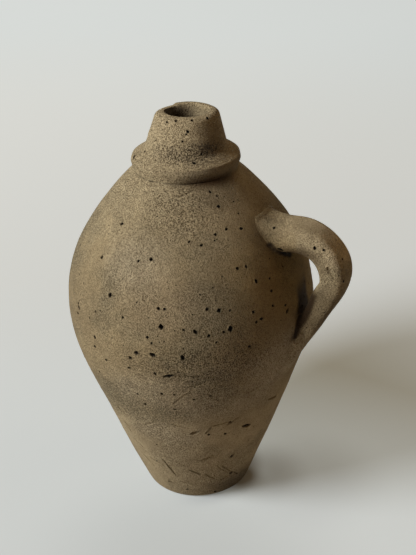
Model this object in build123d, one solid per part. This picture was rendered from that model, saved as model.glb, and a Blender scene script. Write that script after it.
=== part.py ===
"""One-handled clay jug: two thrown body sections, a thrown neck with a collar and a pulled strap handle."""
import os
from math import radians, tan

from build123d import *

# Millimetres. z = 0 is the resting face, +Z runs up through the mouth, the handle stands along +X.

# Outside of the body: foot, flank, widest belly, shoulder, seat of the neck
foot_radius = 40.5
foot_edge = 3.0
belly_radius = 90.4
belly_height = 161.0
flank_inset = 5.6
flank_drop = 36.0
shoulder_inset = 15.2
shoulder_rise = 53.0
seat_radius = 36.6
seat_rise = 46.0

# Thickness of the clay and of the slip that joins the pieces, with the gap left round the slip
wall = 7.5
floor = 10.0
floor_fillet = 9.0
seat_width = 10.6
slip = 1.0
fit = 0.05
joint_drop = 15.4
joint_bevel = 25.0
crease_depth = 0.8

# Neck: collar at its root, tapering wall, thick rounded lip and straight throat
collar_overhang = 1.6
collar_edge_rise = 5.5
collar_band = 3.5
collar_draft = 0.9
collar_edge_round = 1.8
collar_top_round = 1.2
collar_shelf = 8.7
collar_slope = 5.5
neck_root_fillet = 6.0
neck_taper = 7.2
neck_rise = 24.5
rim_round = 4.5
lip_width = 5.8
lip_step = 1.8
lip_depth = 4.0
lip_round = 1.0
throat_length = 18.0
flare_inset = 1.5
flare_rise = 7.0
flare_round = 6.0

# Handle: strap that leaves the shoulder level, bends down and runs slanting into the belly
handle_rise = 9.0
handle_reach = 32.4
bend_radius = 25.2
lower_slant = 27.4
strap_width = 23.8
strap_thickness = 18.0
strap_roundness = 0.3
strap_sections = 13
upper_root_width = 32.5
upper_root_thickness = 21.3
upper_root_depth = 26.0
upper_root_run = 0.45
lower_root_width = 19.0
lower_root_thickness = 4.5
lower_root_depth = 18.3
lower_root_run = 0.7
lower_root_skew = 6.0
bead = 1.6

# Radii and heights that follow from these
flank_radius = belly_radius - flank_inset
flank_height = belly_height - flank_drop
shoulder_radius = belly_radius - shoulder_inset
shoulder_height = belly_height + shoulder_rise
seat_height = shoulder_height + seat_rise
joint_height = flank_height - joint_drop
hole_radius = seat_radius - seat_width
handle_height = shoulder_height + handle_rise


def at(radius, height):
    """A point of the half section, in the plane of the handle."""
    return Vector(radius, 0, height)


def turned(*edges):
    """The solid that the closed outline leaves when it turns on the wheel."""
    return revolve(make_face(Wire(edges)), axis=Axis.Z)


belly = at(belly_radius, belly_height)
flank = at(flank_radius, flank_height)
shoulder = at(shoulder_radius, shoulder_height)
flank_arc = TangentArc(belly, flank, tangent=(0, 0, -1))
foot_arc = TangentArc(flank, at(foot_radius, 0), tangent=flank_arc % 1)
shoulder_arc = TangentArc(belly, shoulder, tangent=(0, 0, 1))
seat_arc = TangentArc(shoulder, at(seat_radius, seat_height), tangent=shoulder_arc % 1)


def wall_curve(distance):
    """The outline of the wall from foot to seat, moved outwards by a distance."""
    rising = (0, 0.5, 1)
    falling = (1, 0.5, 0)
    arcs = []
    lower_arcs = [(foot_arc, falling), (flank_arc, falling)]
    upper_arcs = [(shoulder_arc, rising), (seat_arc, rising)]
    for arc, stops in lower_arcs + upper_arcs:
        points = []
        for stop in stops:
            along = arc % stop
            outward = Vector(abs(along.Z), 0, -along.X if along.Z > 0 else along.X)
            points.append(arc @ stop + outward * distance)
        arcs.append(ThreePointArc(*points))
    return arcs


def body_filled(distance):
    """The body as a full solid, grown by a distance on its outside."""
    side = wall_curve(distance)
    start = side[0] @ 0
    end = side[-1] @ 1
    bottom = at(0, start.Z)
    top = at(0, end.Z)
    return turned(*side, Line(end, top), Line(top, bottom), Line(bottom, start))


# Hollow body with its floor, foot edge and the hole for the neck
inside = wall_curve(-wall)
inside_start = inside[0] @ 0
inside_end = inside[-1] @ 1
hole_edge = at(hole_radius, seat_height)
top_centre = at(0, seat_height)
bottom_centre = at(0, inside_start.Z)
cavity = turned(
    *inside,
    Line(inside_end, hole_edge),
    Line(hole_edge, top_centre),
    Line(top_centre, bottom_centre),
    Line(bottom_centre, inside_start),
)
cavity = split(cavity, bisect_by=Plane.XY.offset(floor), keep=Keep.TOP)
cavity = fillet(cavity.edges().group_by(Axis.Z)[0], floor_fillet)

body = body_filled(0)
body = fillet(body.edges().group_by(Axis.Z)[0], foot_edge)
body = body - cavity


def under_joint(height):
    """Everything below the bevelled joint that has this height at the flank's radius."""
    far = 2 * belly_radius
    slope = tan(radians(joint_bevel))
    centre_height = height - flank_radius * slope
    low = min(0, centre_height) - wall
    corners = [at(0, centre_height), at(far, centre_height + far * slope), at(far, low), at(0, low)]
    return turned(*Polyline(*corners, close=True).edges())


below = under_joint(joint_height - slip / 2)
above = under_joint(joint_height + slip / 2)
lower_body = body & below
upper_body = body - above
belly_luting = (body & above) - below

# Neck on the flat seat of the shoulder, with its slip set back so that a crease shows
neck_base = seat_height + slip
collar_radius = seat_radius + collar_overhang
collar_edge_height = neck_base + collar_edge_rise
collar_top_radius = collar_radius - collar_draft
collar_top_height = collar_edge_height + collar_band
neck_root_radius = collar_top_radius - collar_shelf
neck_root_height = collar_top_height + collar_slope
rim_radius = neck_root_radius - neck_taper
rim_height = neck_root_height + neck_rise
lip_radius = rim_radius - lip_width
throat_radius = lip_radius - lip_step
throat_height = rim_height - lip_depth
collar_rounds = [collar_edge_round, collar_top_round]
neck_outline = FilletPolyline(
    at(hole_radius, neck_base),
    at(seat_radius, neck_base),
    at(collar_radius, collar_edge_height),
    at(collar_top_radius, collar_top_height),
    at(neck_root_radius, neck_root_height),
    at(rim_radius, rim_height),
    at(lip_radius, rim_height),
    at(throat_radius, throat_height),
    at(throat_radius, throat_height - throat_length),
    at(hole_radius - flare_inset, neck_base + flare_rise),
    at(hole_radius, neck_base),
    radius=[0, 0, *collar_rounds, neck_root_fillet, rim_round, lip_round, 0, 0, flare_round],
)
neck = turned(*neck_outline.edges())

ring = Circle(seat_radius - crease_depth) - Circle(hole_radius)
neck_luting = extrude(Pos(0, 0, seat_height) * ring, slip)

# Handle: sections strung along the middle line of the strap
bend_middle = belly_radius + handle_reach - strap_thickness / 2 - bend_radius
corner_radius = bend_middle + bend_radius * tan(radians(45 + lower_slant / 2))
root_radius = flank_radius - lower_root_depth
root_height = handle_height - (corner_radius - root_radius) / tan(radians(lower_slant))
middle_line = FilletPolyline(
    at(shoulder_radius - upper_root_depth, handle_height),
    at(corner_radius, handle_height),
    at(root_radius, root_height) - Vector(0, lower_root_skew, 0),
    radius=bend_radius,
)


def strap(extra):
    """The strap from inside the shoulder to inside the belly, grown all round by an extra."""
    sections = []
    for k in range(strap_sections):
        along = k / (strap_sections - 1)
        upper = max(0, 1 - along / upper_root_run) ** 2
        lower = max(0, 1 - (1 - along) / lower_root_run) ** 2
        width = strap_width
        width += upper * (upper_root_width - strap_width) + lower * (lower_root_width - strap_width)
        thickness = strap_thickness
        thickness += upper * (upper_root_thickness - strap_thickness)
        thickness += lower * (lower_root_thickness - strap_thickness)
        place = Plane(middle_line @ along, x_dir=(0, 1, 0), z_dir=middle_line % along)
        corner = strap_roundness * thickness + extra
        sections.append(place * RectangleRounded(width + 2 * extra, thickness + 2 * extra, corner))
    return loft(sections)


handle = strap(0) - body_filled(slip)
roots = (strap(bead) & body_filled(slip - fit)) - body_filled(fit)
roots = roots.solids().sort_by(Axis.Z)
handle_lower_luting = roots[0]
handle_upper_luting = roots[-1]

pieces = {
    "lower_body": lower_body,
    "upper_body": upper_body,
    "belly_luting": belly_luting,
    "neck": neck,
    "neck_luting": neck_luting,
    "handle": handle,
    "handle_upper_luting": handle_upper_luting,
    "handle_lower_luting": handle_lower_luting,
}

os.makedirs("parts", exist_ok=True)
for name, piece in pieces.items():
    export_step(piece, os.path.join("parts", name + ".step"))
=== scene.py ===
import math
import random

import bmesh
import bpy
from bpy.props import FloatProperty, FloatVectorProperty, IntProperty, PointerProperty
from mathutils import Matrix, Vector, kdtree, noise
from mathutils.bvhtree import BVHTree


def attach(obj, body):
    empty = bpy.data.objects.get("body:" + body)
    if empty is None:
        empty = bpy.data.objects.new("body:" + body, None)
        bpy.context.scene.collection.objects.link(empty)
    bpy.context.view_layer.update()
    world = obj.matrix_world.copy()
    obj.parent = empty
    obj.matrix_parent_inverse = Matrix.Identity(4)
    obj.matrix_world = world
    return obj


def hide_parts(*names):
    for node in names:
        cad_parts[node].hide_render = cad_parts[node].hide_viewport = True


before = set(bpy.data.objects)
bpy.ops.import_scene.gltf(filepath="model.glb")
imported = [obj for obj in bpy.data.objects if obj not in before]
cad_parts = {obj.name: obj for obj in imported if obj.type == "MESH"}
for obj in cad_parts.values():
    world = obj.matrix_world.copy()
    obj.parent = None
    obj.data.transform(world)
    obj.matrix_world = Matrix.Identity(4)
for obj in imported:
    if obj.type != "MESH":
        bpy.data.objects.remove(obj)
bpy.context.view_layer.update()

bl_info = {
    "name": "Clay jug",
    "version": (1, 0, 0),
    "blender": (4, 5, 0),
    "location": "View3D > Sidebar > Jug",
    "description": "An unglazed one-handled clay jug with a collared neck, in a plain studio",
    "category": "Object",
}

MM = 0.001
FULL_TURN = 2 * math.pi
# Width and height of the photograph in pixels, and width of the camera's sensor in mm
IMAGE = (416, 555)
SENSOR = 36
# Heights of the jug's middle, of the neck's root, of the stretch where the rim dips, and of the top
MIDDLE = 150 * MM
NECK_ROOT = 262 * MM
DIP_ROOT = 283 * MM
DIP_TOP = 298 * MM
TOP = 300 * MM
# Turn round the axis, in degrees, where the rim starts to dip, is down, starts to rise and is level again
DIP_TURNS = (142, 150, 160, 232)
# Middle of the dent behind the arm, and how far it spreads: degrees round the axis and height
DENT_TURN, DENT_WIDE = 14, 15
DENT_HEIGHT, DENT_TALL = 177 * MM, 13 * MM
# Height of a row of faces on the inside of the body
INSIDE_ROW = 6 * MM
# Pores that show in the photograph: pixel across, pixel down, width in mm
BODY_PORES = (
    (218.1, 206, 2.0), (121.3, 223.3, 1.4), (215, 234, 1.5), (226, 228.6, 1.2), (240.8, 228, 1.4),
    (209.6, 191.4, 1.1), (216.4, 195.3, 1.0), (233, 201, 1.0), (238, 213, 1.0), (201, 244.7, 1.1),
    (188.6, 241.4, 0.9), (214.3, 240, 0.9), (101.4, 256.8, 1.5), (150.6, 259, 1.6), (137.8, 260.6, 1.0),
    (237, 268, 1.5), (245.6, 266, 1.3), (255.6, 280.6, 1.5), (269.2, 278, 1.0), (271, 290.4, 1.4),
    (109.6, 294.6, 1.7), (78.6, 307, 1.7), (77.4, 312.5, 1.2), (158, 308.2, 1.4), (164, 308.6, 1.3),
    (206.6, 308.8, 1.5), (218.6, 310, 2.0), (229.6, 310, 1.0), (253, 311.6, 1.6), (272.4, 305.4, 1.1),
    (285, 304.6, 1.0), (256, 321.6, 1.5), (260.8, 318.4, 1.3), (160.6, 326.4, 2.2), (230, 328.4, 2.4),
    (223.4, 331.6, 1.4), (194.8, 331.4, 1.6), (183.2, 329.6, 1.1), (208.4, 335.4, 1.7), (146.8, 336.8, 1.2),
    (94.4, 336.6, 1.4), (94.4, 346, 1.2), (151, 342.8, 1.0), (216, 342, 1.0), (249, 346, 1.2),
    (136, 352.4, 2.0), (129.8, 357.2, 1.8), (152, 354.2, 2.0), (182.2, 357.4, 1.9), (128.6, 367.4, 1.1),
    (105.6, 359.4, 1.1), (99, 371, 1.3), (154.6, 373, 1.2), (122.2, 317, 1.2), (89.2, 317.4, 1.1),
    (95, 311, 1.1), (137.2, 393.4, 1.1), (161.4, 393.4, 1.4), (173.8, 394.4, 1.4), (193.5, 399.2, 1.2),
    (210, 395.5, 1.1), (144.8, 403.7, 1.4), (174.2, 408.8, 1.0), (229.7, 422.2, 1.5), (208.3, 434.2, 1.3),
    (224.7, 433.3, 1.3), (156.2, 444, 1.2), (230.8, 456, 1.5), (230.3, 472.3, 1.7), (187, 488.7, 1.5),
    (214.7, 490.8, 1.5), (168.3, 480.8, 1.2),
)
NECK_PORES = (
    (166.4, 121.7, 1.0), (175.3, 120.4, 0.9), (191.4, 120, 1.2), (207, 117.6, 1.3), (187.3, 131.1, 1.1),
    (185.6, 133.9, 0.9), (182, 141.1, 1.1), (193.7, 162.7, 1.5), (201, 153.6, 1.0),
)
HANDLE_PORES = (
    (273.7, 227.3, 1.4), (314.2, 247.7, 1.6), (323.3, 249.8, 1.2), (342, 258.7, 1.0), (343, 280.8, 1.2),
)
# Gouges and scrapes: pixel across and down at both ends, width and depth in mm
BODY_SCRAPES = (
    (164, 376, 172, 374.8, 2.8, 2.7), (242.4, 425.4, 249, 424, 3.4, 3.2),
    (285.8, 312.6, 287.4, 308.8, 2.4, 2.2), (162.5, 459, 175.5, 474.5, 1.5, 0.9),
    (189, 469.4, 199.5, 474, 1.6, 1.0), (222, 466, 236.8, 473.1, 1.6, 0.9),
    (216, 464.5, 225, 471, 1.5, 0.6), (115.5, 403, 121, 410.6, 1.8, 1.0), (134.3, 438, 144.3, 448, 1.8, 1.1),
    (138, 447, 154.3, 465.6, 1.6, 0.8), (150.5, 457, 158, 462, 2.2, 1.2), (268, 399, 275.5, 395.6, 2.2, 1.2),
    (190.5, 433.5, 198, 431, 3.4, 1.7), (205.5, 433, 210.5, 427, 2.2, 1.3), (173, 403, 186.8, 393, 2.2, 0.7),
    (211.8, 425.6, 230.5, 420.6, 1.3, 0.7), (223, 427, 238, 417, 1.5, 0.7), (274, 409, 279, 399, 2.0, 1.2),
    (229, 457, 233, 453.5, 2.0, 1.5), (168, 479, 172, 482, 1.8, 1.1), (240, 353, 252, 347, 1.6, 0.5),
    (173, 375.2, 195, 376.2, 1.2, 0.6), (195, 376.2, 217, 377, 1.2, 0.5), (187, 387, 203.6, 383, 1.8, 0.5),
    (201, 460, 212, 455, 2.4, 0.9), (146, 470, 153, 477, 1.8, 0.9), (176, 462, 186, 466, 1.6, 0.7),
    (172, 424, 189, 428.5, 2.2, 0.8), (205, 474, 214, 478, 1.6, 0.8), (219, 480, 229, 474, 1.8, 0.9),
    (236, 462, 241, 455, 1.8, 0.8), (124, 420, 131, 431, 1.7, 0.9), (255, 445, 261, 432, 1.8, 0.8),
    (180, 481, 192, 484, 1.8, 0.7), (145, 424, 158, 421, 2.0, 0.5), (248, 392, 259, 386, 1.8, 0.6),
    (133.5, 172.5, 150, 181, 1.2, 0.8), (150, 181, 176, 186.5, 1.2, 0.8),
    (137.5, 176.8, 155, 184.6, 1.0, 0.6), (155, 184.6, 180, 189.8, 1.0, 0.6),
    (142, 183, 160, 190, 1.0, 0.5), (182, 189, 190, 197, 1.3, 0.6),
    (178, 197, 192, 190, 1.3, 0.6), (180, 200, 196, 206, 1.3, 0.5),
    # The crevice between the arm and the wall, sunk and painted dark as shade
    (301.5, 306, 299, 317, 4.0, 3.4), (299, 317, 295.5, 327, 3.2, 2.8), (295.5, 327, 291.6, 334.6, 1.8, 1.6),
)
NECK_SCRAPES = ((133.4, 157.4, 134.6, 155, 2.6, 2.2),)
HANDLE_SCRAPES = (
    (266.5, 217.5, 265.3, 231, 2.0, 0.5), (270, 229, 276, 233, 1.6, 0.5), (327.5, 268, 333, 277, 4.0, 0.9),
    (318, 284, 322, 296, 2.5, 0.5), (300, 244, 310, 249, 2.0, 0.35), (306, 322, 300, 333, 2.2, 0.4),
    # The crevice under the upper root, sunk and painted dark as shadow
    (270, 243.8, 278, 247.8, 2.4, 2.3), (278, 247.8, 285, 251, 2.6, 2.5), (285, 251, 292, 253.6, 2.2, 2.0),
)
# The handle's slanting arm: a point on its middle line, and its own directions
ARM_SLANT = math.radians(27.4)
ARM_START = Vector((97.4, 0, 160)) * MM
ARM_ALONG = Vector((math.sin(ARM_SLANT), 0, math.cos(ARM_SLANT)))
ARM_ACROSS = Vector((math.cos(ARM_SLANT), 0, -math.sin(ARM_SLANT)))
ARM_ASIDE = Vector((0, 1, 0))
# Lobes of clay pressed out at the handle's roots: degrees right of the camera and height,
# then thickness, half width and half length, in mm
ROOT_LOBES = ((48.2, 229.5, 0.8, 3.0, 5.0), (53, 219.5, 2.2, 4.5, 5.5), (52.8, 138, 1.6, 3.5, 8.0))
# Lobes on the inside of the arm: along, across and aside from its middle line, then half sizes, in mm
ARM_LOBES = ((27, -6.8, -7.5, 12, 3.4, 6.0),)
# Height that parts the handle's upper root from its lower one
ROOTS_PARTED = 195 * MM
# Skin that stands off the wall by less than the first is the wall's own, and by less than the second, slip
BARE_WALL = 0.3 * MM
SLIP_EDGE = 1.2 * MM
# Pieces of the handle: name, the node that each one stands for, and its slot
HANDLE_PIECES = (
    ("strap_handle", "handle", "clay"),
    ("upper_root_slip", "handle_upper_luting", "slip"),
    ("lower_root_slip", "handle_lower_luting", "slip"),
)
# Patches on the wall: degrees right of the camera, radius, height, half width, half height in mm; warm, dusk,
# crease, eaves and sole carry painted shade
PATCHES = {
    "smoke": (9, 28, 278.5, 36, 10),
    "band": (4, 89, 151, 72, 22),
    "grey": (-4, 51, 246, 36, 24),
    "coarse": (14, 86, 135, 78, 60),
    "blush": (-14, 90, 196, 46, 34),
    "warm": (56, 88, 200, 76, 52),
    "flank": (-66, 88, 180, 50, 46),
    "scorch": (-34, 58, 66, 32, 24),
    "dusk": (52, 24, 287, 22, 20),
    "crease": (28, 37.5, 260.5, 34, 6),
    "eaves": (28, 44, 252, 28, 12),
    "thumb": (50.5, 67, 226, 20, 15),
    "sole": (40, 42, 9, 36, 20),
}
# Patches on the handle: centre and half sizes in mm; strap, crest and bend carry painted light on the
# handle's top and bend, under carries painted shade below the upper root
HANDLE_PATCHES = {
    "strap": ((100, 0, 229), (48, 40, 24)),
    "crest": ((120, 0, 221), (24, 30, 20)),
    "bend": ((108, -8, 197), (16, 18, 20)),
    "heel": ((82, -10, 138), (20, 20, 20)),
    "under": ((90, -13, 215.5), (24, 18, 8)),
}
# Pale patches on the wall, of which those low on the right are painted bounce light on the shaded side, and
# darker patches that are partly stains and partly painted shade on the right side and under the collar, with
# the strength of each before its other numbers
PALE_AND_LIT_PATCHES = (
    (2.0, 44, 87, 140, 42, 32), (1.0, -20, 85, 126, 52, 26), (1.0, -30, 72, 216, 36, 26),
    (1.2, 12, 80, 112, 48, 26), (0.7, 22, 88, 142, 50, 18), (0.9, -14, 68, 82, 46, 20),
    (0.8, 40, 84, 118, 36, 36),
)
STAINS_AND_SHADE = (
    (0.3, 66, 90, 196, 20, 26), (0.14, 30, 28, 276, 20, 10), (0.12, 6, 84, 202, 36, 22),
    (0.32, 42, 39, 258, 14, 7),
)
# Painted shadow under the edge of the upper root: a row of small patches that share one strength and size
ROOT_SHADOW = tuple(
    (1.0, *place, 4.6, 2.9)
    for place in (
        (48.2, 72, 219), (50.2, 73.8, 216.3), (52, 75.2, 214.1),
        (54, 76.6, 211.9), (56.4, 77.8, 209.6), (59.4, 79, 207.2),
    )
)
# Soft shadows where the jug meets the paper: strength, degrees right of the camera, radius, width in mm
CONTACTS = ((0.34, 75, 52, 46), (0.3, 56, 43, 22), (0.26, 76, 92, 72))


def length_in_mm(name, description, default):
    return FloatProperty(name=name, description=description, default=default * MM, unit="LENGTH")


def turn_in_degrees(name, description, default):
    return FloatProperty(
        name=name, description=description, default=math.radians(default), subtype="ANGLE"
    )


def tint(name, description, default):
    return FloatVectorProperty(name=name, description=description, default=default, subtype="COLOR")


class JugShape(bpy.types.PropertyGroup):
    """Sizes of the handmade unevenness that the plain turned shape doesn't have."""

    row: length_in_mm("Row", "Height of a row of faces", 2.0)
    steps: IntProperty(name="Steps", description="Faces round the body", default=300)
    lump: length_in_mm("Lump", "Height of broad lumps", 0.55)
    ring: length_in_mm("Ring", "Height of throwing rings", 0.07)
    lean: length_in_mm("Lean", "Lean of the neck at the mouth", 2.4)
    dip: length_in_mm("Dip", "Low part of the rim", 1.2)
    dent: length_in_mm("Dent", "Wall pressed in behind the arm", 2.0)
    voxel: length_in_mm("Voxel", "Face size on the strap", 0.8)


class ClayFinish(bpy.types.PropertyGroup):
    """Colours and grain of the fired clay."""

    clay: tint("Clay", "Clay of the belly", (0.335, 0.266, 0.152))
    khaki: tint("Khaki", "Greyer clay", (0.28, 0.233, 0.142))
    # Paler clay, also laid on as painted light on the top and on the handle's strap and bend
    light: tint("Light", "Paler clay of the top", (0.46, 0.379, 0.234))
    smoke: tint("Smoke", "Smoked clay", (0.070, 0.050, 0.028))
    blush: tint("Blush", "Redder clay", (0.40, 0.313, 0.191))
    ash_and_lit_tone: tint("Ash", "Greyer pale clay", (0.47, 0.401, 0.275))
    # Painted light on the top of the handle's bend and strap
    lit_handle_tone: tint("Lit_handle_tone", "Rubbed pale clay", (0.68, 0.573, 0.374))
    # Colour of the painted shade in creases and crevices
    crease_shade_tone: tint("Crease_shade_tone", "Clay in the creases", (0.062, 0.032, 0.010))
    # Painted shade: tint of the wall's right side, away from the lamp
    shade_side_tint: tint("Shade_side_tint", "Tint of the browner side", (1.0, 0.91, 0.68))
    # Painted shade inside pits, also laid into the crevices at the handle
    pore: tint("Pore", "Pore", (0.008, 0.005, 0.003))
    grain: length_in_mm("Grain", "Size of the sand grains", 1.0)
    roughness: FloatProperty(name="Roughness", description="Matt surface", default=0.86, subtype="FACTOR")


class StudioSetup(bpy.types.PropertyGroup):
    """Camera, light and floor."""

    floor: tint("Floor", "Paper floor", (1.0, 1.10, 1.20))
    glow: tint("Glow", "Pale background", (1.0, 1.035, 1.0))
    level: FloatProperty(name="Level", description="Brightness of the lit floor", default=0.6)
    shadow: FloatProperty(
        name="Shadow", description="Share of the floor's light that a shadow takes", default=0.24
    )
    bounce: tint("Bounce", "Light off the floor", (0.70, 0.66, 0.60))
    fill: tint("Fill", "Ambient light", (0.20, 0.104, 0.032))
    key: FloatProperty(name="Key", description="Key light in watts", default=5.6, unit="POWER")
    key_tint: tint("Key tint", "Key light", (1.0, 0.985, 0.96))
    key_size: length_in_mm("Key size", "Width of the key light", 290)
    key_turn: turn_in_degrees("Key turn", "Key light left of the camera", 64)
    key_away: length_in_mm("Key away", "Key light from the axis", 580)
    key_height: length_in_mm("Key height", "Key light above the floor", 560)
    rim: FloatProperty(name="Rim", description="Rim light in watts", default=0.95, unit="POWER")
    rim_tint: tint("Rim tint", "Rim light", (1.0, 0.81, 0.55))
    rim_size: length_in_mm("Rim size", "Width of the rim light", 500)
    rim_turn: turn_in_degrees("Rim turn", "Rim light right of the camera", 106)
    rim_away: length_in_mm("Rim away", "Rim light from the axis", 800)
    rim_height: length_in_mm("Rim height", "Rim light above the floor", 640)
    azimuth: turn_in_degrees("Azimuth", "Camera round the jug", 30)
    distance: length_in_mm("Distance", "Camera from the axis", 642.9)
    height: length_in_mm("Height", "Camera above the floor", 505.4)
    pitch: turn_in_degrees("Pitch", "Camera looks down", 27.46)
    yaw: turn_in_degrees("Yaw", "Camera looks right", 1.13)
    roll: turn_in_degrees("Roll", "Camera tilts", -1.95)
    lens: FloatProperty(name="Lens", description="Focal length in mm", default=63.68)


def shape():
    return bpy.context.scene.jug_shape


def finish():
    return bpy.context.scene.jug_finish


def studio():
    return bpy.context.scene.jug_studio


def camera_matrix():
    """Place and turn of the camera that took the photograph."""
    s = studio()
    turn = Matrix.Rotation(s.azimuth, 4, "Z")
    place = Matrix.Translation((0, -s.distance, s.height))
    look = Matrix.Rotation(-s.yaw, 4, "Z") @ Matrix.Rotation(math.pi / 2 - s.pitch, 4, "X")
    return turn @ place @ look @ Matrix.Rotation(s.roll, 4, "Z")


def sight(across, down):
    """The camera's place and the direction in which it sees a pixel."""
    matrix = camera_matrix()
    focal = studio().lens / SENSOR * max(IMAGE)
    ray = Vector(((across + 0.5 - IMAGE[0] / 2) / focal, (IMAGE[1] / 2 - down - 0.5) / focal, -1))
    return matrix.translation, (matrix.to_3x3() @ ray).normalized()


def smooth(low, high, value):
    """A soft step from 0 at low to 1 at high."""
    t = min(max((value - low) / (high - low), 0), 1)
    return t * t * (3 - 2 * t)


def neck_lean():
    """How far the mouth lies off the axis: to the right, as the camera sees it."""
    return Matrix.Rotation(studio().azimuth, 3, "Z") @ Vector((shape().lean, 0, 0))


def toward_camera(degrees, radius, height):
    """A place on the jug, by its angle right of the camera's line, its radius and its height in mm."""
    turn = studio().azimuth - math.pi / 2 + math.radians(degrees)
    return Vector((math.cos(turn) * radius, math.sin(turn) * radius, height)) * MM


def level_way(degrees):
    """A level direction, by its angle right of the camera's line."""
    return toward_camera(degrees, 1, 0) / MM


class Hands:
    """How far the potter's hands moved each point of the plain turned shape."""

    def __init__(self):
        self.shape = shape()
        self.lean = neck_lean()

    def lumps(self, co):
        """Broad lumps with smaller ones on them, from about -1 to 1."""
        return noise.noise(co * 21) + 0.4 * noise.noise(co * 57 + Vector((3, 7, 1)))

    def rings(self, co):
        """Throwing rings, drawn out along the turn of the wheel, from about -1 to 1."""
        broad = noise.noise(Vector((co.x * 9, co.y * 9, co.z * 270)))
        return broad + 0.5 * noise.noise(Vector((co.x * 14, co.y * 14, co.z * 760)))

    def move(self, co, wall=1.0):
        """The move of a point, with the share of the wall's rings and dent that it takes."""
        s = self.shape
        x, y, z = co
        out = Vector((x, y, (z - MIDDLE) * 0.5 * smooth(0, 12 * MM, z)))
        if out.length > 0:
            out.normalize()
        lump = self.lumps(co) * s.lump * smooth(0, 20 * MM, z)
        move = out * (lump + self.rings(co) * wall * s.ring)
        turn = math.degrees(math.atan2(y, x))
        off_dent = ((turn - DENT_TURN) / DENT_WIDE) ** 2 + ((z - DENT_HEIGHT) / DENT_TALL) ** 2
        move -= out * wall * s.dent * math.exp(-off_dent)
        if z > NECK_ROOT:
            move += self.lean * ((z - NECK_ROOT) / (TOP - NECK_ROOT))
        if z > DIP_ROOT:
            low = smooth(*DIP_TURNS[:2], turn % 360) * (1 - smooth(*DIP_TURNS[2:], turn % 360))
            move.z -= s.dip * low * smooth(DIP_ROOT, DIP_TOP, z)
        return move


def merged(node):
    """A bmesh copy of a CAD node's mesh, with its loose triangles joined."""
    bm = bmesh.new()
    bm.from_mesh(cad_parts[node].data)
    bmesh.ops.remove_doubles(bm, verts=bm.verts, dist=1e-6)
    return bm


def half_section(node, row, inside_row, rounds=6):
    """The outline of a turned CAD node on its +X side, in even steps and with its facets smoothed."""
    band = 4 * MM
    skin = 4 * MM
    gentle = math.radians(14)
    bm = merged(node)
    for normal, other in (((0, 1, 0), True), ((1, 0, 0), False)):
        geom = bm.verts[:] + bm.edges[:] + bm.faces[:]
        bmesh.ops.bisect_plane(
            bm, geom=geom, dist=1e-7, plane_co=(0, 0, 0), plane_no=normal, clear_inner=True, clear_outer=other
        )
    bmesh.ops.remove_doubles(bm, verts=bm.verts, dist=0.02 * MM)
    widest = {}
    for v in bm.verts:
        level = round(v.co.z / band)
        for near in (level - 1, level, level + 1):
            widest[near] = max(widest.get(near, 0), v.co.x)
    cuts = {}
    for e in bm.edges:
        middle = (e.verts[0].co + e.verts[1].co) / 2
        outside = middle.x > widest.get(round(middle.z / band), 0) - skin
        count = math.ceil(e.calc_length() / (row if outside else inside_row)) - 1
        if count > 0:
            cuts.setdefault(count, []).append(e)
    for count, edges in cuts.items():
        bmesh.ops.subdivide_edges(bm, edges=edges, cuts=count)
    bendy = []
    for v in bm.verts:
        if len(v.link_edges) == 2:
            ways = [e.other_vert(v).co - v.co for e in v.link_edges]
            if math.pi - ways[0].angle(ways[1]) < gentle:
                bendy.append(v)
    for _ in range(rounds):
        bmesh.ops.smooth_vert(bm, verts=bendy, factor=0.5, use_axis_x=True, use_axis_z=True)
    return bm


def spun(bm, steps, angle=FULL_TURN):
    """Spins an outline round the axis."""
    whole = angle == FULL_TURN
    geom = bm.verts[:] + bm.edges[:]
    bmesh.ops.spin(bm, geom=geom, cent=(0, 0, 0), axis=(0, 0, 1), angle=angle, steps=steps, use_merge=whole)
    bmesh.ops.remove_doubles(bm, verts=bm.verts, dist=1e-6)
    return bm


def turned(node, row, inside_row, steps, rounds=6):
    """A turned CAD node as an even mesh with the potter's unevenness."""
    bm = spun(half_section(node, row, inside_row, rounds), steps)
    bmesh.ops.recalc_face_normals(bm, faces=bm.faces)
    hands = Hands()
    for v in bm.verts:
        v.co += hands.move(v.co)
    bm.normal_update()
    return bm


class Pit:
    """A pore or a scrape: a groove with round ends that is sunk into a surface."""

    def __init__(self, start, end, normal, width, depth, dark):
        self.start = start
        self.end = end
        self.normal = normal
        self.width = width
        self.depth = depth
        self.dark = dark

    def away(self, co):
        """Distance from the middle line of the pit, and how far along that line it is met."""
        along = self.end - self.start
        part = 0.5
        if along.length_squared > 0:
            part = min(max((co - self.start).dot(along) / along.length_squared, 0), 1)
        return (co - self.start - along * part).length, part

    def share(self, co):
        """Distance from the middle line in half widths, which taper to the ends of a scrape."""
        taper = 0.45
        away, part = self.away(co)
        return away / (self.width / 2 * (1 - taper * (2 * part - 1) ** 2))


def seen_pits(bm, pores, scrapes, outside=True):
    """The photographed pores and scrapes, on the face of the piece that the camera sees."""
    tree = BVHTree.FromBMesh(bm)

    def touch(across, down):
        eye, ray = sight(across, down)
        hit, normal, _, _ = tree.ray_cast(eye, ray)
        if hit is None or normal.dot(ray) > 0:
            return None, None
        if outside and normal.x * hit.x + normal.y * hit.y < 0:
            return None, None
        return hit, normal

    pits = []
    for across, down, width in pores:
        hit, normal = touch(across, down)
        if hit:
            chance = random.Random(round(10 * across + down))
            turn = Matrix.Rotation(chance.uniform(0, math.pi), 3, normal)
            long = turn @ normal.orthogonal().normalized() * width * MM * chance.uniform(0.25, 0.75)
            pits.append(Pit(hit - long, hit + long, normal, (1.25 * width + 0.45) * MM, width * MM, 1.0))
    for across, down, end_across, end_down, width, depth in scrapes:
        start, normal = touch(across, down)
        end, _ = touch(end_across, end_down)
        if start and end:
            # Painted shade in a scrape: darker the deeper and narrower it is
            dark = smooth(0.45, 0.95, depth / width)
            pits.append(Pit(start, end, normal, width * MM, depth * MM, dark))
    return pits


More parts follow.
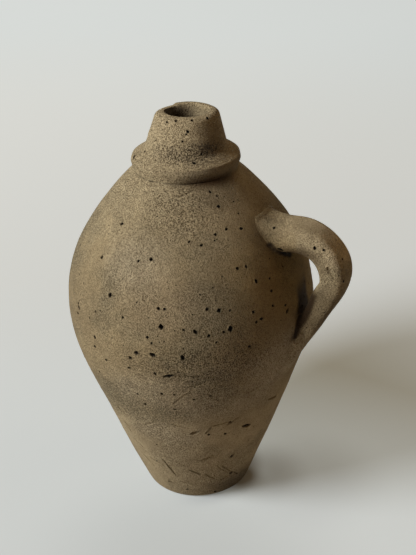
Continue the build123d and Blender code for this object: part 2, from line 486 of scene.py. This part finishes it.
def stray_pits(bm, seed, count, low, high):
    """Seeded pores, with only small ones on the side that the photograph shows."""
    shown = math.radians(62)
    small = 1.0 * MM
    outside = 200 * MM
    chance = random.Random(seed)
    tree = BVHTree.FromBMesh(bm)
    front = studio().azimuth - math.pi / 2
    pits = []
    while len(pits) < count:
        turn = chance.uniform(-math.pi, math.pi)
        height = chance.triangular(low, high)
        width = chance.choice((0.7, 0.9, 1.0, 1.2, 1.5, 1.9)) * MM
        away = abs((turn - front + math.pi) % FULL_TURN - math.pi)
        if away < shown and width > small:
            continue
        out = Vector((math.cos(turn), math.sin(turn), 0))
        hit, normal, _, _ = tree.ray_cast(out * outside + Vector((0, 0, height)), -out)
        if hit:
            pits.append(Pit(hit, hit, normal, width, 0.8 * width, 1.0))
    return pits


def search_tree(elements, place):
    """A search tree of a mesh's faces or vertices, by the place of each."""
    tree = kdtree.KDTree(len(elements))
    for element in elements:
        tree.insert(place(element), element.index)
    tree.balance()
    return tree


def press(bm, pits, cuts):
    """Cuts the faces round each pit finer and sinks the pit into them."""
    margin = 1.0 * MM
    pore = bm.verts.layers.float.new("pore")
    bm.faces.ensure_lookup_table()
    tree = search_tree(bm.faces, lambda f: f.calc_center_median())
    near = set()
    for pit in pits:
        middle = (pit.start + pit.end) / 2
        edge = pit.width / 2 + margin
        found = tree.find_range(middle, (pit.end - pit.start).length / 2 + edge)
        near.update(index for co, index, _ in found if pit.away(co)[0] < edge)
    edges = {e for index in near for e in bm.faces[index].edges}
    bmesh.ops.subdivide_edges(bm, edges=list(edges), cuts=cuts, use_grid_fill=True)
    bm.verts.ensure_lookup_table()
    tree = search_tree(bm.verts, lambda v: v.co)
    for pit in pits:
        middle = (pit.start + pit.end) / 2
        reach = (pit.end - pit.start).length / 2 + 1.2 * pit.width
        for co, index, _ in tree.find_range(middle, reach):
            v = bm.verts[index]
            share = pit.share(co) / (1 + 0.25 * noise.noise(co * 900) + 0.15 * noise.noise(co * 350))
            deep = 1 - smooth(0.35, 1.15, share)
            burr = smooth(0.9, 1.2, share) * (1 - smooth(1.3, 1.9, share))
            v.co -= pit.normal * pit.depth * (deep - 0.12 * burr)
            # The pit's inside is marked for painted shade
            v[pore] = max(v[pore], pit.dark * (1 - smooth(0.85, 1.15, share)))


def piece(name, bm, node, slot, material):
    """Makes a finished bmesh the object that stands for a CAD node."""
    crisp = math.radians(40)
    bm.normal_update()
    for f in bm.faces:
        f.smooth = True
    for e in bm.edges:
        e.smooth = len(e.link_faces) != 2 or e.calc_face_angle(0) < crisp
    mesh = bpy.data.meshes.new(name)
    bm.to_mesh(mesh)
    bm.free()
    made = bpy.data.objects.new(name, mesh)
    bpy.context.scene.collection.objects.link(made)
    mesh.materials.append(material)
    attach(made, "root")
    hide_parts(node)


def maths(operation, swapped=False):
    """A Python operator for two shader values, which adds a Math node."""

    def join(self, other):
        first, second = (other, self) if swapped else (self, other)
        return self.coat.node("ShaderNodeMath", {"operation": operation}, first, second)

    return join


class Value:
    """A shader socket that takes part in Python sums."""

    def __init__(self, coat, socket):
        self.coat = coat
        self.socket = socket

    __add__ = maths("ADD")
    __radd__ = maths("ADD", True)
    __sub__ = maths("SUBTRACT")
    __rsub__ = maths("SUBTRACT", True)
    __mul__ = maths("MULTIPLY")
    __rmul__ = maths("MULTIPLY", True)
    __truediv__ = maths("DIVIDE")
    __rtruediv__ = maths("DIVIDE", True)
    __pow__ = maths("POWER")
    at_least = maths("MAXIMUM")
    at_most = maths("MINIMUM")

    def __abs__(self):
        return self.coat.node("ShaderNodeMath", {"operation": "ABSOLUTE"}, self)


class Coat:
    """A tree of shader nodes."""

    def __init__(self, tree):
        self.tree = tree

    def node(self, kind, settings, *values, out=0, **named):
        """Adds a node with its settings and the values or links of its sockets."""
        made = self.tree.nodes.new(kind)
        for key, value in settings.items():
            setattr(made, key, value)
        pairs = list(zip(made.inputs, values))
        pairs += [(made.inputs[key.replace("_", " ")], value) for key, value in named.items()]
        for socket, value in pairs:
            if isinstance(value, Value):
                self.tree.links.new(value.socket, socket)
            elif value is not None:
                socket.default_value = value
        return Value(self, made.outputs[out]) if made.outputs else made

    def mix(self, factor, first, second, blend="MIX"):
        """Two colours mixed by a factor."""
        values = [None] * 8
        values[0] = factor
        for place, colour in ((6, first), (7, second)):
            values[place] = colour if isinstance(colour, Value) else (*colour, 1)
        return self.node("ShaderNodeMix", {"data_type": "RGBA", "blend_type": blend}, *values, out=2)

    def tinted(self, first, second):
        """Two colours multiplied."""
        return self.mix(1.0, first, second, "MULTIPLY")

    def step(self, value, low, high):
        """A soft step from 0 to 1 as a value goes from low to high."""
        settings = {"interpolation_type": "SMOOTHSTEP"}
        return self.node("ShaderNodeMapRange", settings, value, low, high, 0.0, 1.0)

    def fade(self, value, low, high):
        """A soft step from 1 to 0 as a value goes from low to high."""
        return 1 - self.step(value, low, high)

    def clamp(self, value, high=1.0):
        return self.node("ShaderNodeClamp", {}, value, 0.0, high)

    def place(self):
        """Where a point lies on the object."""
        return self.node("ShaderNodeTexCoord", {}, out=3)

    def cloud(self, place, size, detail=3.0, rough=0.55):
        """Soft noise with spots of about this size."""
        return self.node(
            "ShaderNodeTexNoise", {}, Vector=place, Scale=1 / size, Detail=detail, Roughness=rough
        )

    def spots(self, place, size):
        """Distance to the nearest of many scattered points, 0 at a point, in shares of their spacing."""
        return self.node("ShaderNodeTexVoronoi", {}, Vector=place, Scale=1 / size)

    def vector(self, operation, first, second=None, out=0):
        return self.node("ShaderNodeVectorMath", {"operation": operation}, first, second, out=out)

    def dot(self, first, second):
        return self.vector("DOT_PRODUCT", first, second, out=1)

    def length(self, vector):
        return self.vector("LENGTH", vector, out=1)

    def off_axis(self, place):
        """Distance from the upright axis."""
        return self.length(self.vector("MULTIPLY", place, (1, 1, 0)))

    def near(self, place, centre, radii):
        """1 at a place, falling to 0 at the given distances from it."""
        scaled = self.vector("DIVIDE", self.vector("SUBTRACT", place, centre), radii)
        return self.fade(self.length(scaled), 0.15, 1.0)

    def looked_at(self):
        """1 where the camera looks, straight, in a reflection or through glass."""
        names = ("Is Camera Ray", "Is Glossy Ray", "Is Transmission Ray")
        rays = [self.node("ShaderNodeLightPath", {}, out=name) for name in names]
        return self.clamp(rays[0] + rays[1] + rays[2])

    def grey(self, value, warmth=0.0):
        """A grey colour, warmer the darker it is."""
        parts = (value, value ** (1 + warmth), value ** (1 + 2.5 * warmth))
        if not isinstance(value, Value):
            return parts
        return self.node("ShaderNodeCombineColor", {}, *parts)


def material(name, build):
    """The material of this name, built the first time it is asked for."""
    made = bpy.data.materials.get(name)
    if not made:
        made = bpy.data.materials.new(name)
        made.use_nodes = True
        made.node_tree.nodes.clear()
        coat = Coat(made.node_tree)
        coat.node("ShaderNodeOutputMaterial", {}, build(coat))
    return made


class ClaySkin:
    """Where a point of the clay lies on the jug, and how strongly each patch shows there."""

    def __init__(self, coat):
        self.coat = coat
        self.place = coat.place()
        self.height = coat.dot(self.place, (0, 0, 1))
        self.right = coat.dot(self.place, level_way(90))
        self.reach = coat.off_axis(self.place)
        self.off_mouth = coat.off_axis(coat.vector("SUBTRACT", self.place, neck_lean()))
        way = coat.vector("SUBTRACT", self.place, ARM_START)
        self.along = coat.dot(way, ARM_ALONG)
        self.across = coat.dot(way, ARM_ACROSS)
        self.aside = coat.dot(self.place, ARM_ASIDE)
        self.broad = coat.cloud(self.place, 55 * MM)
        self.middle = coat.cloud(self.place, 9 * MM, detail=4.0, rough=0.6)
        self.neck = self.rise(self.height, 262, 268)
        self.top = self.rise(self.height + 20 * MM * self.broad, 215, 285)
        self.low = self.fall(self.height + 40 * MM * self.broad, 85, 140)
        for name, numbers in PATCHES.items():
            setattr(self, name, self.patch(*numbers))
        for name, (centre, radii) in HANDLE_PATCHES.items():
            setattr(self, name, coat.near(self.place, Vector(centre) * MM, Vector(radii) * MM))

    def rise(self, length, low, high):
        """A soft step from 0 to 1 as a length goes from low to high, in mm."""
        return self.coat.step(length, low * MM, high * MM)

    def fall(self, length, low, high):
        """A soft step from 1 to 0 as a length goes from low to high, in mm."""
        return self.coat.fade(length, low * MM, high * MM)

    def patch(self, degrees, around, level, wide, tall):
        """1 at a spot on the wall, falling to 0 round it."""
        centre = toward_camera(degrees, around, level)
        return self.coat.near(self.place, centre, Vector((wide, wide, tall)) * MM)

    def patches(self, rows):
        """The sum of several patches, each with its strength before its other numbers."""
        return sum(strength * self.patch(*numbers) for strength, *numbers in rows)

    def crevice_shade(self):
        """Painted shade in the angle between the arm and the wall, on the arm and on the wall."""
        along, aside = self.along, self.aside
        lean = self.across + 0.25 * (along - 12 * MM).at_least(0.0) + 3 * MM * (self.middle - 0.5)
        drift = 0.5 * (along - 10 * MM).at_most(0.0)
        on_arm = self.fall(aside, -10.5, -8) * self.fall(along, 24, 32) * self.rise(self.reach, 90.4, 92)
        on_wall = self.rise(aside - drift, -9, -3) * self.fall(aside, 8, 16) * self.fall(along, 10, 24)
        inside = self.fall(lean, -3.6, 0) * self.rise(along, -16, -11) * self.rise(self.across, -30, -22)
        return inside * (on_arm + on_wall)

    def arm(self):
        """The camera's side of the slanting arm, which takes painted shade where the body shades it."""
        long = self.rise(self.along, -6, 8) * self.fall(self.along, 30, 44)
        return long * self.rise(self.across, -9, -6) * self.fall(self.aside, -4, 4)

    def mouth_shade(self):
        """Painted shade in the mouth, which starts higher on its left, away from the lamp, and is paler on
        its right, where the lamp shines in.
        """
        brim = 3 * MM * self.fall(self.right, -15, -3)
        mouth_shade = self.fall(self.off_mouth, 15.2, 16.4) * self.fall(self.height - brim, 296.5, 300.2)
        return mouth_shade * self.neck * (0.97 - 0.6 * self.rise(self.right, -4, 12))

    def collar(self):
        """Painted shade on the collar's edge band, which faces down, stronger on its right, away from the
        lamp.
        """
        band = self.rise(self.height, 258.5, 260.5) * self.fall(self.height, 268.8, 270.6)
        return band * self.rise(self.off_mouth, 33, 36) * (0.05 + 0.45 * self.rise(self.right, -24, 10))


def clay_coat(coat):
    """Unglazed sandy clay: broad blotches, smoke, sand grains and open pores."""
    f = finish()
    skin = ClaySkin(coat)
    sand = coat.cloud(skin.place, f.grain, detail=2.0, rough=0.65)
    grit = coat.cloud(skin.place, 0.6 * f.grain, detail=1.0, rough=0.5)
    worm = coat.cloud(skin.place, 2.2 * f.grain, detail=1.0, rough=0.5)
    rings = coat.cloud(coat.vector("MULTIPLY", skin.place, (0.1, 0.1, 1.0)), 1.6 * MM, detail=2.0)
    dots = coat.spots(skin.place, 3.6 * MM)
    crevice_shade = skin.crevice_shade()
    root_shadow = skin.patches(ROOT_SHADOW)

    # How coarse the sand is, and its dark grains, pale grains and fine lines
    rough = 0.25 + 0.45 * coat.step(skin.broad, 0.42, 0.60) + 0.8 * skin.band + 0.65 * skin.grey
    rough = coat.clamp(rough + 0.8 * skin.smoke + 0.45 * skin.coarse - 0.15 * skin.low, 1.4)
    dark = coat.step(sand, 0.50, 0.64)
    pale = coat.step(grit, 0.55, 0.70)
    line = coat.fade(abs(worm - 0.5), 0.0, 0.055)

    # Body of the clay
    colour = coat.mix(coat.step(skin.broad, 0.38, 0.62), f.clay, f.khaki)
    colour = coat.mix(skin.blush * 0.5, colour, f.blush)
    # Paler towards the top, partly the clay's own tone and partly painted light; painted light on the
    # handle's strap and bend; paler on the lower body
    light = skin.top + 0.9 * skin.strap + 0.6 * skin.bend + 0.6 * skin.low
    colour = coat.mix(coat.clamp(light), colour, f.light)
    # Greyer pale patches; those low on the right are painted bounce light on the shaded side
    ash_and_lit_tone = 0.5 * skin.patches(PALE_AND_LIT_PATCHES) + 0.7 * skin.heel + 0.2 * skin.low
    colour = coat.mix(coat.clamp(ash_and_lit_tone), colour, f.ash_and_lit_tone)
    # Painted light on the top of the handle's bend and strap
    colour = coat.mix(coat.clamp(skin.crest + 0.25 * skin.strap), colour, f.lit_handle_tone)
    # Painted shade: the right side, away from the lamp, tinted browner
    shade_side_tint = skin.warm * (1 - skin.strap) * skin.fall(skin.reach, 89, 92)
    colour = coat.tinted(colour, coat.mix(shade_side_tint, (1, 1, 1), f.shade_side_tint))

    # Sand on it
    shade = 1.03 - (0.12 + 0.48 * rough) * dark - (0.05 + 0.26 * rough) * line
    shade = (0.85 + 0.22 * coat.step(skin.middle, 0.25, 0.75)) * (shade + (0.16 + 0.54 * rough) * pale)
    colour = coat.tinted(colour, coat.grey(shade, 0.08))

    # Smoke, stains, painted shade and pores
    speck = coat.fade(dots, 0.06, 0.19) * coat.step(skin.middle, 0.42, 0.6)
    soot = coat.step(0.5 * skin.middle + 0.9 * sand, 0.52, 0.9)
    # Smoke and tone, with painted shade on the arm, the neck's right, the mouth, the collar's edge and
    # underside and the foot's right; darker also on the left flank and near the upper root
    dirt_and_shade = (skin.smoke + 0.3 * skin.band + 0.15 * skin.grey) * soot + 0.44 * skin.arm() + 0.45 * skin.dusk
    dirt_and_shade = dirt_and_shade + skin.mouth_shade() + skin.patches(STAINS_AND_SHADE) + 0.25 * skin.flank + 0.75 * skin.sole
    dirt_and_shade = dirt_and_shade + 0.4 * skin.eaves + skin.collar() + 0.5 * skin.thumb + 0.15 * skin.scorch
    colour = coat.mix(coat.clamp(dirt_and_shade), colour, f.smoke)
    # Painted shade and shadow in the collar's crease, the arm's crevice, under the strap and under the upper
    # root
    painted_shade = 0.95 * skin.crease + 0.95 * crevice_shade + 0.75 * skin.under + root_shadow
    colour = coat.mix(coat.clamp(painted_shade), colour, f.crease_shade_tone)
    colour = coat.mix(speck * 0.85, colour, f.smoke)
    # Pits take the pore colour as painted shade, and so do the arm's crevice and the shadow under the upper
    # root
    pore = coat.node("ShaderNodeAttribute", {"attribute_name": "pore"}, out=2)
    colour = coat.mix(coat.clamp(pore + 0.5 * crevice_shade + 0.8 * root_shadow), colour, f.pore)

    relief = (0.3 + rough) * (0.9 * pale - 0.9 * dark - 0.6 * line) - speck + skin.middle
    relief = relief + 1.2 * skin.neck * rings
    bump = coat.node("ShaderNodeBump", {}, Strength=1.0, Distance=1.0 * MM, Height=relief)
    return coat.node(
        "ShaderNodeBsdfPrincipled", {}, Base_Color=colour, Roughness=f.roughness, Normal=bump,
        Diffuse_Roughness=0.6, Specular_IOR_Level=0.2,
    )


def clay():
    return material("sandy_clay", clay_coat)


def lamp_place(turn, away, height):
    """Where a light hangs, and the unit vector to it from the middle of the jug."""
    turn += studio().azimuth - math.pi / 2
    source = Vector((away * math.cos(turn), away * math.sin(turn), height))
    return source, (source - Vector((0, 0, MIDDLE))).normalized()


def paper_coat(coat):
    """Pale paper that evens out the fall of the lamps' light, so that only the shadow shows on it."""
    s = studio()
    place = coat.place()

    def lamp_light(power, turn, away, height):
        """A lamp's light on the paper, and the distance to the lamp."""
        source, axis = lamp_place(turn, away, height)
        way = coat.vector("SUBTRACT", source, place)
        far = coat.length(way)
        lit = power / math.pi ** 2 * height * coat.dot(way, axis) / far ** 4
        return lit.at_least(0.01), far

    def toward(degrees):
        """Distance from the axis along a level direction."""
        return coat.dot(place, level_way(degrees))

    def pool(degrees, around, wide):
        """1 at a spot on the paper, falling to 0 round it."""
        return coat.near(place, toward_camera(degrees, around, 0), Vector((wide, wide, 100)) * MM)

    lit, far = lamp_light(s.key, -s.key_turn, s.key_away, s.key_height)
    side_lit, _ = lamp_light(s.rim, s.rim_turn, s.rim_away, s.rim_height)

    # How much of the floor's light the lamps give, so that their shadows are that deep
    deep = coat.step(toward(165), 0.02, 0.22)
    share = (s.shadow * (1 + 0.5 * deep) / lit).at_most(0.9) * coat.fade(far, 1.2, 2.0)
    colour = coat.tinted(coat.grey(share), s.floor)

    # The rest is the paper's own glow, with painted shade in front of the jug, painted light towards the back
    # and painted shade towards the right
    front = pool(-5, 130, 150)
    back = coat.step(toward(215), -0.1, 1.1)
    side = coat.step(toward(90), -0.5, 0.9)
    level = s.level + 0.02 - 0.08 * front + 0.06 * back - 0.05 * side - 0.05 * share
    glow = coat.tinted(coat.grey(level), s.glow)
    for strength, tint in ((lit, s.key_tint), (side_lit, s.rim_tint), (0.5 * s.level, s.fill)):
        thrown = coat.tinted(coat.tinted(colour, coat.grey(strength)), tint)
        glow = coat.mix(1.0, glow, thrown, "SUBTRACT")
    # Painted shadow of the jug on the paper, round the right of its foot
    foot = coat.fade(coat.off_axis(place), 38 * MM, 56 * MM) * coat.step(toward(75), -16 * MM, 30 * MM)
    contact = sum(strength * pool(*numbers) for strength, *numbers in CONTACTS) + 0.5 * foot
    glow = coat.tinted(glow, coat.grey(coat.clamp(1 - contact)))

    matt = {"Roughness": 1.0, "Specular_IOR_Level": 0.0}
    seen = coat.node(
        "ShaderNodeBsdfPrincipled", {}, Base_Color=colour, Emission_Color=glow, Emission_Strength=1.0, **matt
    )
    plain = coat.node("ShaderNodeBsdfPrincipled", {}, Base_Color=(*s.bounce, 1), **matt)
    return coat.node("ShaderNodeMixShader", {}, coat.looked_at(), plain, seen)


class JUG_OT_walls(bpy.types.Operator):
    """Lower and upper section of the thrown body"""

    bl_idname = "jug.walls"
    bl_label = "Body walls"

    def execute(self, context):
        s = shape()
        for name, node, seed, count, low, high in (
            ("lower_wall", "lower_body", 3, 70, 4 * MM, 100 * MM),
            ("upper_wall", "upper_body", 5, 190, 112 * MM, 250 * MM),
        ):
            bm = turned(node, s.row, INSIDE_ROW, s.steps)
            pits = seen_pits(bm, BODY_PORES, BODY_SCRAPES) + stray_pits(bm, seed, count, low, high)
            press(bm, pits, cuts=5)
            piece(name, bm, node, "clay", clay())
        return {"FINISHED"}


class JUG_OT_neck(bpy.types.Operator):
    """Thrown neck with its collar and thick lip"""

    bl_idname = "jug.neck"
    bl_label = "Neck"

    def execute(self, context):
        bm = turned("neck", row=0.8 * MM, inside_row=1.5 * MM, steps=240, rounds=1)
        pits = seen_pits(bm, NECK_PORES, NECK_SCRAPES)
        pits += stray_pits(bm, seed=9, count=14, low=263 * MM, high=298 * MM)
        press(bm, pits, cuts=3)
        piece("collared_neck", bm, "neck", "clay", clay())
        return {"FINISHED"}


class JUG_OT_seams(bpy.types.Operator):
    """Slip between the body sections and under the neck"""

    bl_idname = "jug.seams"
    bl_label = "Slip seams"

    def execute(self, context):
        for name, node, steps in (("belly_seam", "belly_luting", 300), ("neck_seam", "neck_luting", 240)):
            bm = turned(node, row=0.5 * MM, inside_row=3 * MM, steps=steps)
            piece(name, bm, node, "slip", clay())
        return {"FINISHED"}


class WallProfile:
    """The outside of the body as radii at even heights, from its outline."""

    def __init__(self, outline):
        self.row = 2 * MM
        self.radii = {}
        for v in outline.verts:
            level = round(v.co.z / self.row)
            self.radii[level] = max(self.radii.get(level, 0), v.co.x)

    def off(self, co):
        """How far a point stands off the wall, level outwards."""
        share = co.z / self.row
        level = math.floor(share)
        low = self.radii.get(level, 0)
        high = self.radii.get(level + 1, low)
        return math.hypot(co.x, co.y) - low - (high - low) * (share - level)

    def spot(self, degrees, height):
        """A place on the wall, and its own directions: outwards, round and up the wall."""
        level = round(height * MM / self.row)
        place = toward_camera(degrees, self.radii[level] / MM, height)
        slope = math.atan2(self.radii[level - 1] - self.radii[level + 1], 2 * self.row)
        turn = math.atan2(place.y, place.x)
        return place, Matrix.Rotation(turn, 4, "Z") @ Matrix.Rotation(-slope, 4, "Y")


def add_lobe(bm, place, ways, half_sizes):
    """Adds a lobe of clay at a place, with its own directions and its half sizes along them in mm."""
    size = Matrix.Diagonal((*(half * MM for half in half_sizes), 1))
    matrix = Matrix.Translation(place) @ ways @ size
    bmesh.ops.create_icosphere(bm, subdivisions=4, radius=1, matrix=matrix)


def open_edges(bm):
    return [e for e in bm.edges if e.is_boundary]


def close_up(bm):
    """Fills the open ends of a shell and turns its faces outwards."""
    bmesh.ops.holes_fill(bm, edges=open_edges(bm), sides=0)
    bmesh.ops.recalc_face_normals(bm, faces=bm.faces)


def even_out(bm, verts, rounds):
    """Smooths a part of a skin."""
    for _ in range(rounds):
        bmesh.ops.smooth_vert(bm, verts=verts, factor=0.5, use_axis_x=True, use_axis_y=True, use_axis_z=True)


def sunk(bm, depth):
    """Draws the open edges of a skin towards the axis, into the clay behind them."""
    drawn = bmesh.ops.extrude_edge_only(bm, edges=open_edges(bm))
    for v in drawn["geom"]:
        if isinstance(v, bmesh.types.BMVert):
            v.co -= Vector((v.co.x, v.co.y, 0)).normalized() * depth


def remeshed(bm, voxel):
    """The outside of all that is in a bmesh, as one even skin."""
    mesh = bpy.data.meshes.new("skin")
    bm.to_mesh(mesh)
    bm.free()
    held = bpy.data.objects.new("skin", mesh)
    bpy.context.scene.collection.objects.link(held)
    skin = held.modifiers.new("skin", "REMESH")
    skin.mode = "VOXEL"
    skin.voxel_size = voxel
    graph = bpy.context.evaluated_depsgraph_get()
    done = bpy.data.meshes.new_from_object(held.evaluated_get(graph))
    bpy.data.objects.remove(held)
    bpy.data.meshes.remove(mesh)
    bm = bmesh.new()
    bm.from_mesh(done)
    bpy.data.meshes.remove(done)
    return bm


def handle_skin(outline, wall):
    """The strap, its slip, the lobes and the wall behind them, under one skin."""
    half = math.radians(38)
    bmesh.ops.rotate(outline, verts=outline.verts, cent=(0, 0, 0), matrix=Matrix.Rotation(-half, 3, "Z"))
    bm = spun(outline, steps=50, angle=2 * half)
    close_up(bm)
    for degrees, height, *half_sizes in ROOT_LOBES:
        add_lobe(bm, *wall.spot(degrees, height), half_sizes)
    ways = Matrix((ARM_ALONG, ARM_ACROSS, ARM_ASIDE)).transposed()
    for along, across, aside, *half_sizes in ARM_LOBES:
        place = ARM_START + ways @ Vector((along, across, aside)) * MM
        add_lobe(bm, place, ways.to_4x4(), half_sizes)
    for _, node, _ in HANDLE_PIECES:
        other = merged(node)
        held = bpy.data.meshes.new("held")
        other.to_mesh(held)
        other.free()
        bm.from_mesh(held)
        bpy.data.meshes.remove(held)
    return remeshed(bm, shape().voxel)


def soften(bm, wall):
    """Smooths the skin: a little all over, more where the roots flow into the wall, most on the arm."""
    even_out(bm, bm.verts, rounds=3)
    for low, high, rounds in ((ROOTS_PARTED, TOP, 5), (0, ROOTS_PARTED, 2)):
        close = [v for v in bm.verts if low < v.co.z <= high and -2 * MM < wall.off(v.co) < 3 * MM]
        even_out(bm, close, rounds)
    arm = [v for v in bm.verts if v.co.z < ROOTS_PARTED + 1 * MM and wall.off(v.co) > 2 * MM]
    even_out(bm, arm, rounds=14)


def strip_wall(bm, wall):
    """Takes the wall's own faces off the skin, and all that doesn't hang together with the strap."""
    off = {v: wall.off(v.co) for v in bm.verts}
    bare = [f for f in bm.faces if all(off[v] < BARE_WALL for v in f.verts)]
    bmesh.ops.delete(bm, geom=bare, context="FACES")
    bm.verts.ensure_lookup_table()
    start = max(bm.verts, key=lambda v: v.co.x)
    kept = {start}
    queue = [start]
    while queue:
        for e in queue.pop().link_edges:
            for v in e.verts:
                if v not in kept:
                    kept.add(v)
                    queue.append(v)
    bmesh.ops.delete(bm, geom=[v for v in bm.verts if v not in kept], context="VERTS")


def make_uneven(bm, wall):
    """Moves the roots with the wall and its lumps, sinks their edges and adds lumps to the strap."""
    sink = 0.5 * MM
    lump = 0.35 * MM
    hands = Hands()
    for v in bm.verts:
        off = wall.off(v.co)
        out = Vector((v.co.x, v.co.y, 0)).normalized()
        edge = 1 - smooth(BARE_WALL, 1.6 * MM, off)
        v.co += hands.move(v.co, 1 - smooth(0, 3 * MM, off)) - out * sink * edge
    bm.normal_update()
    for v in bm.verts:
        off = wall.off(v.co)
        v.co += v.normal * noise.noise(v.co * 75) * lump * smooth(1 * MM, 5 * MM, off)
    bmesh.ops.recalc_face_normals(bm, faces=bm.faces)


def owners(bm, wall):
    """The name of the piece that each face of the handle's skin belongs to, with even borders."""
    bm.faces.index_update()
    owner = []
    for f in bm.faces:
        centre = f.calc_center_median()
        root = "upper_root_slip" if centre.z > ROOTS_PARTED else "lower_root_slip"
        owner.append("strap_handle" if wall.off(centre) >= SLIP_EDGE else root)
    for _ in range(8):
        for f in bm.faces:
            beside = [owner[other.index] for e in f.edges for other in e.link_faces if other is not f]
            if beside.count(owner[f.index]) < 2:
                owner[f.index] = max(sorted(set(beside)), key=beside.count)
    return owner


class JUG_OT_handle(bpy.types.Operator):
    """Pulled strap handle, pressed on at both roots"""

    bl_idname = "jug.handle"
    bl_label = "Handle"

    def execute(self, context):
        outline = half_section("upper_body", shape().row, INSIDE_ROW)
        wall = WallProfile(outline)
        bm = handle_skin(outline, wall)
        soften(bm, wall)
        strip_wall(bm, wall)
        sunk(bm, depth=0.8 * MM)
        make_uneven(bm, wall)
        owner = owners(bm, wall)
        mesh = bpy.data.meshes.new("strap")
        bm.to_mesh(mesh)
        bm.free()
        for name, node, slot in HANDLE_PIECES:
            part = bmesh.new()
            part.from_mesh(mesh)
            part.faces.ensure_lookup_table()
            others = [f for f in part.faces if owner[f.index] != name]
            bmesh.ops.delete(part, geom=others, context="FACES")
            press(part, seen_pits(part, HANDLE_PORES, HANDLE_SCRAPES, outside=False), cuts=3)
            sunk(part, depth=0.4 * MM)
            close_up(part)
            piece(name, part, node, slot, clay())
        bpy.data.meshes.remove(mesh)
        return {"FINISHED"}


def add_floor(scene):
    bm = bmesh.new()
    bmesh.ops.create_grid(bm, x_segments=1, y_segments=1, size=15)
    bmesh.ops.translate(bm, verts=bm.verts, vec=(0, 0, -0.1 * MM))
    mesh = bpy.data.meshes.new("paper_floor")
    bm.to_mesh(mesh)
    bm.free()
    floor = bpy.data.objects.new("paper_floor", mesh)
    scene.collection.objects.link(floor)
    mesh.materials.append(material("matt_paper", paper_coat))


def add_lights(scene):
    s = studio()
    for name, power, size, turn, away, height, tint in (
        ("key_light", s.key, s.key_size, -s.key_turn, s.key_away, s.key_height, s.key_tint),
        ("rim_light", s.rim, s.rim_size, s.rim_turn, s.rim_away, s.rim_height, s.rim_tint),
    ):
        lamp = bpy.data.lights.new(name, "AREA")
        lamp.shape = "DISK"
        lamp.size = size
        lamp.energy = power
        lamp.color = tint
        source, axis = lamp_place(turn, away, height)
        light = bpy.data.objects.new(name, lamp)
        light.matrix_world = Matrix.LocRotScale(source, axis.to_track_quat("Z", "Y"), None)
        scene.collection.objects.link(light)


def add_air(scene):
    """A warm fill for the jug, behind a pale background for the camera."""
    s = studio()
    world = bpy.data.worlds.new("studio_air")
    world.use_nodes = True
    world.node_tree.nodes.clear()
    air = Coat(world.node_tree)
    colour = air.mix(air.looked_at(), s.fill, s.glow)
    back = air.node("ShaderNodeBackground", {}, colour, s.level)
    air.node("ShaderNodeOutputWorld", {}, back)
    scene.world = world


def add_camera(scene):
    lens = bpy.data.cameras.new("camera")
    lens.lens = studio().lens
    lens.sensor_width = SENSOR
    camera = bpy.data.objects.new("camera", lens)
    camera.matrix_world = camera_matrix()
    scene.collection.objects.link(camera)
    scene.camera = camera


class JUG_OT_stage(bpy.types.Operator):
    """Paper floor, key and rim light, ambient light and camera"""

    bl_idname = "jug.stage"
    bl_label = "Stage"

    def execute(self, context):
        scene = context.scene
        scene.view_settings.view_transform = "Standard"
        add_floor(scene)
        add_lights(scene)
        add_air(scene)
        add_camera(scene)
        return {"FINISHED"}


class JUG_PT_panel(bpy.types.Panel):
    """Lists the jug's steps and sizes"""

    bl_idname = "JUG_PT_panel"
    bl_label = "Clay jug"
    bl_space_type = "VIEW_3D"
    bl_region_type = "UI"
    bl_category = "Jug"

    def draw(self, context):
        layout = self.layout
        for operator in OPERATORS:
            layout.operator(operator.bl_idname)
        for group in (shape(), finish(), studio()):
            box = layout.box()
            for name in group.bl_rna.properties.keys():
                if name not in ("rna_type", "name"):
                    box.prop(group, name)


GROUPS = {"jug_shape": JugShape, "jug_finish": ClayFinish, "jug_studio": StudioSetup}
OPERATORS = (JUG_OT_stage, JUG_OT_walls, JUG_OT_neck, JUG_OT_seams, JUG_OT_handle)
CLASSES = (*GROUPS.values(), *OPERATORS, JUG_PT_panel)


def register():
    for cls in CLASSES:
        bpy.utils.register_class(cls)
    for name, group in GROUPS.items():
        setattr(bpy.types.Scene, name, PointerProperty(type=group))


def unregister():
    for name in GROUPS:
        delattr(bpy.types.Scene, name)
    for cls in reversed(CLASSES):
        bpy.utils.unregister_class(cls)


def main():
    register()
    bpy.ops.jug.stage()
    bpy.ops.jug.walls()
    bpy.ops.jug.neck()
    bpy.ops.jug.seams()
    bpy.ops.jug.handle()
    bpy.context.view_layer.update()


if __name__ == "__main__":
    main()
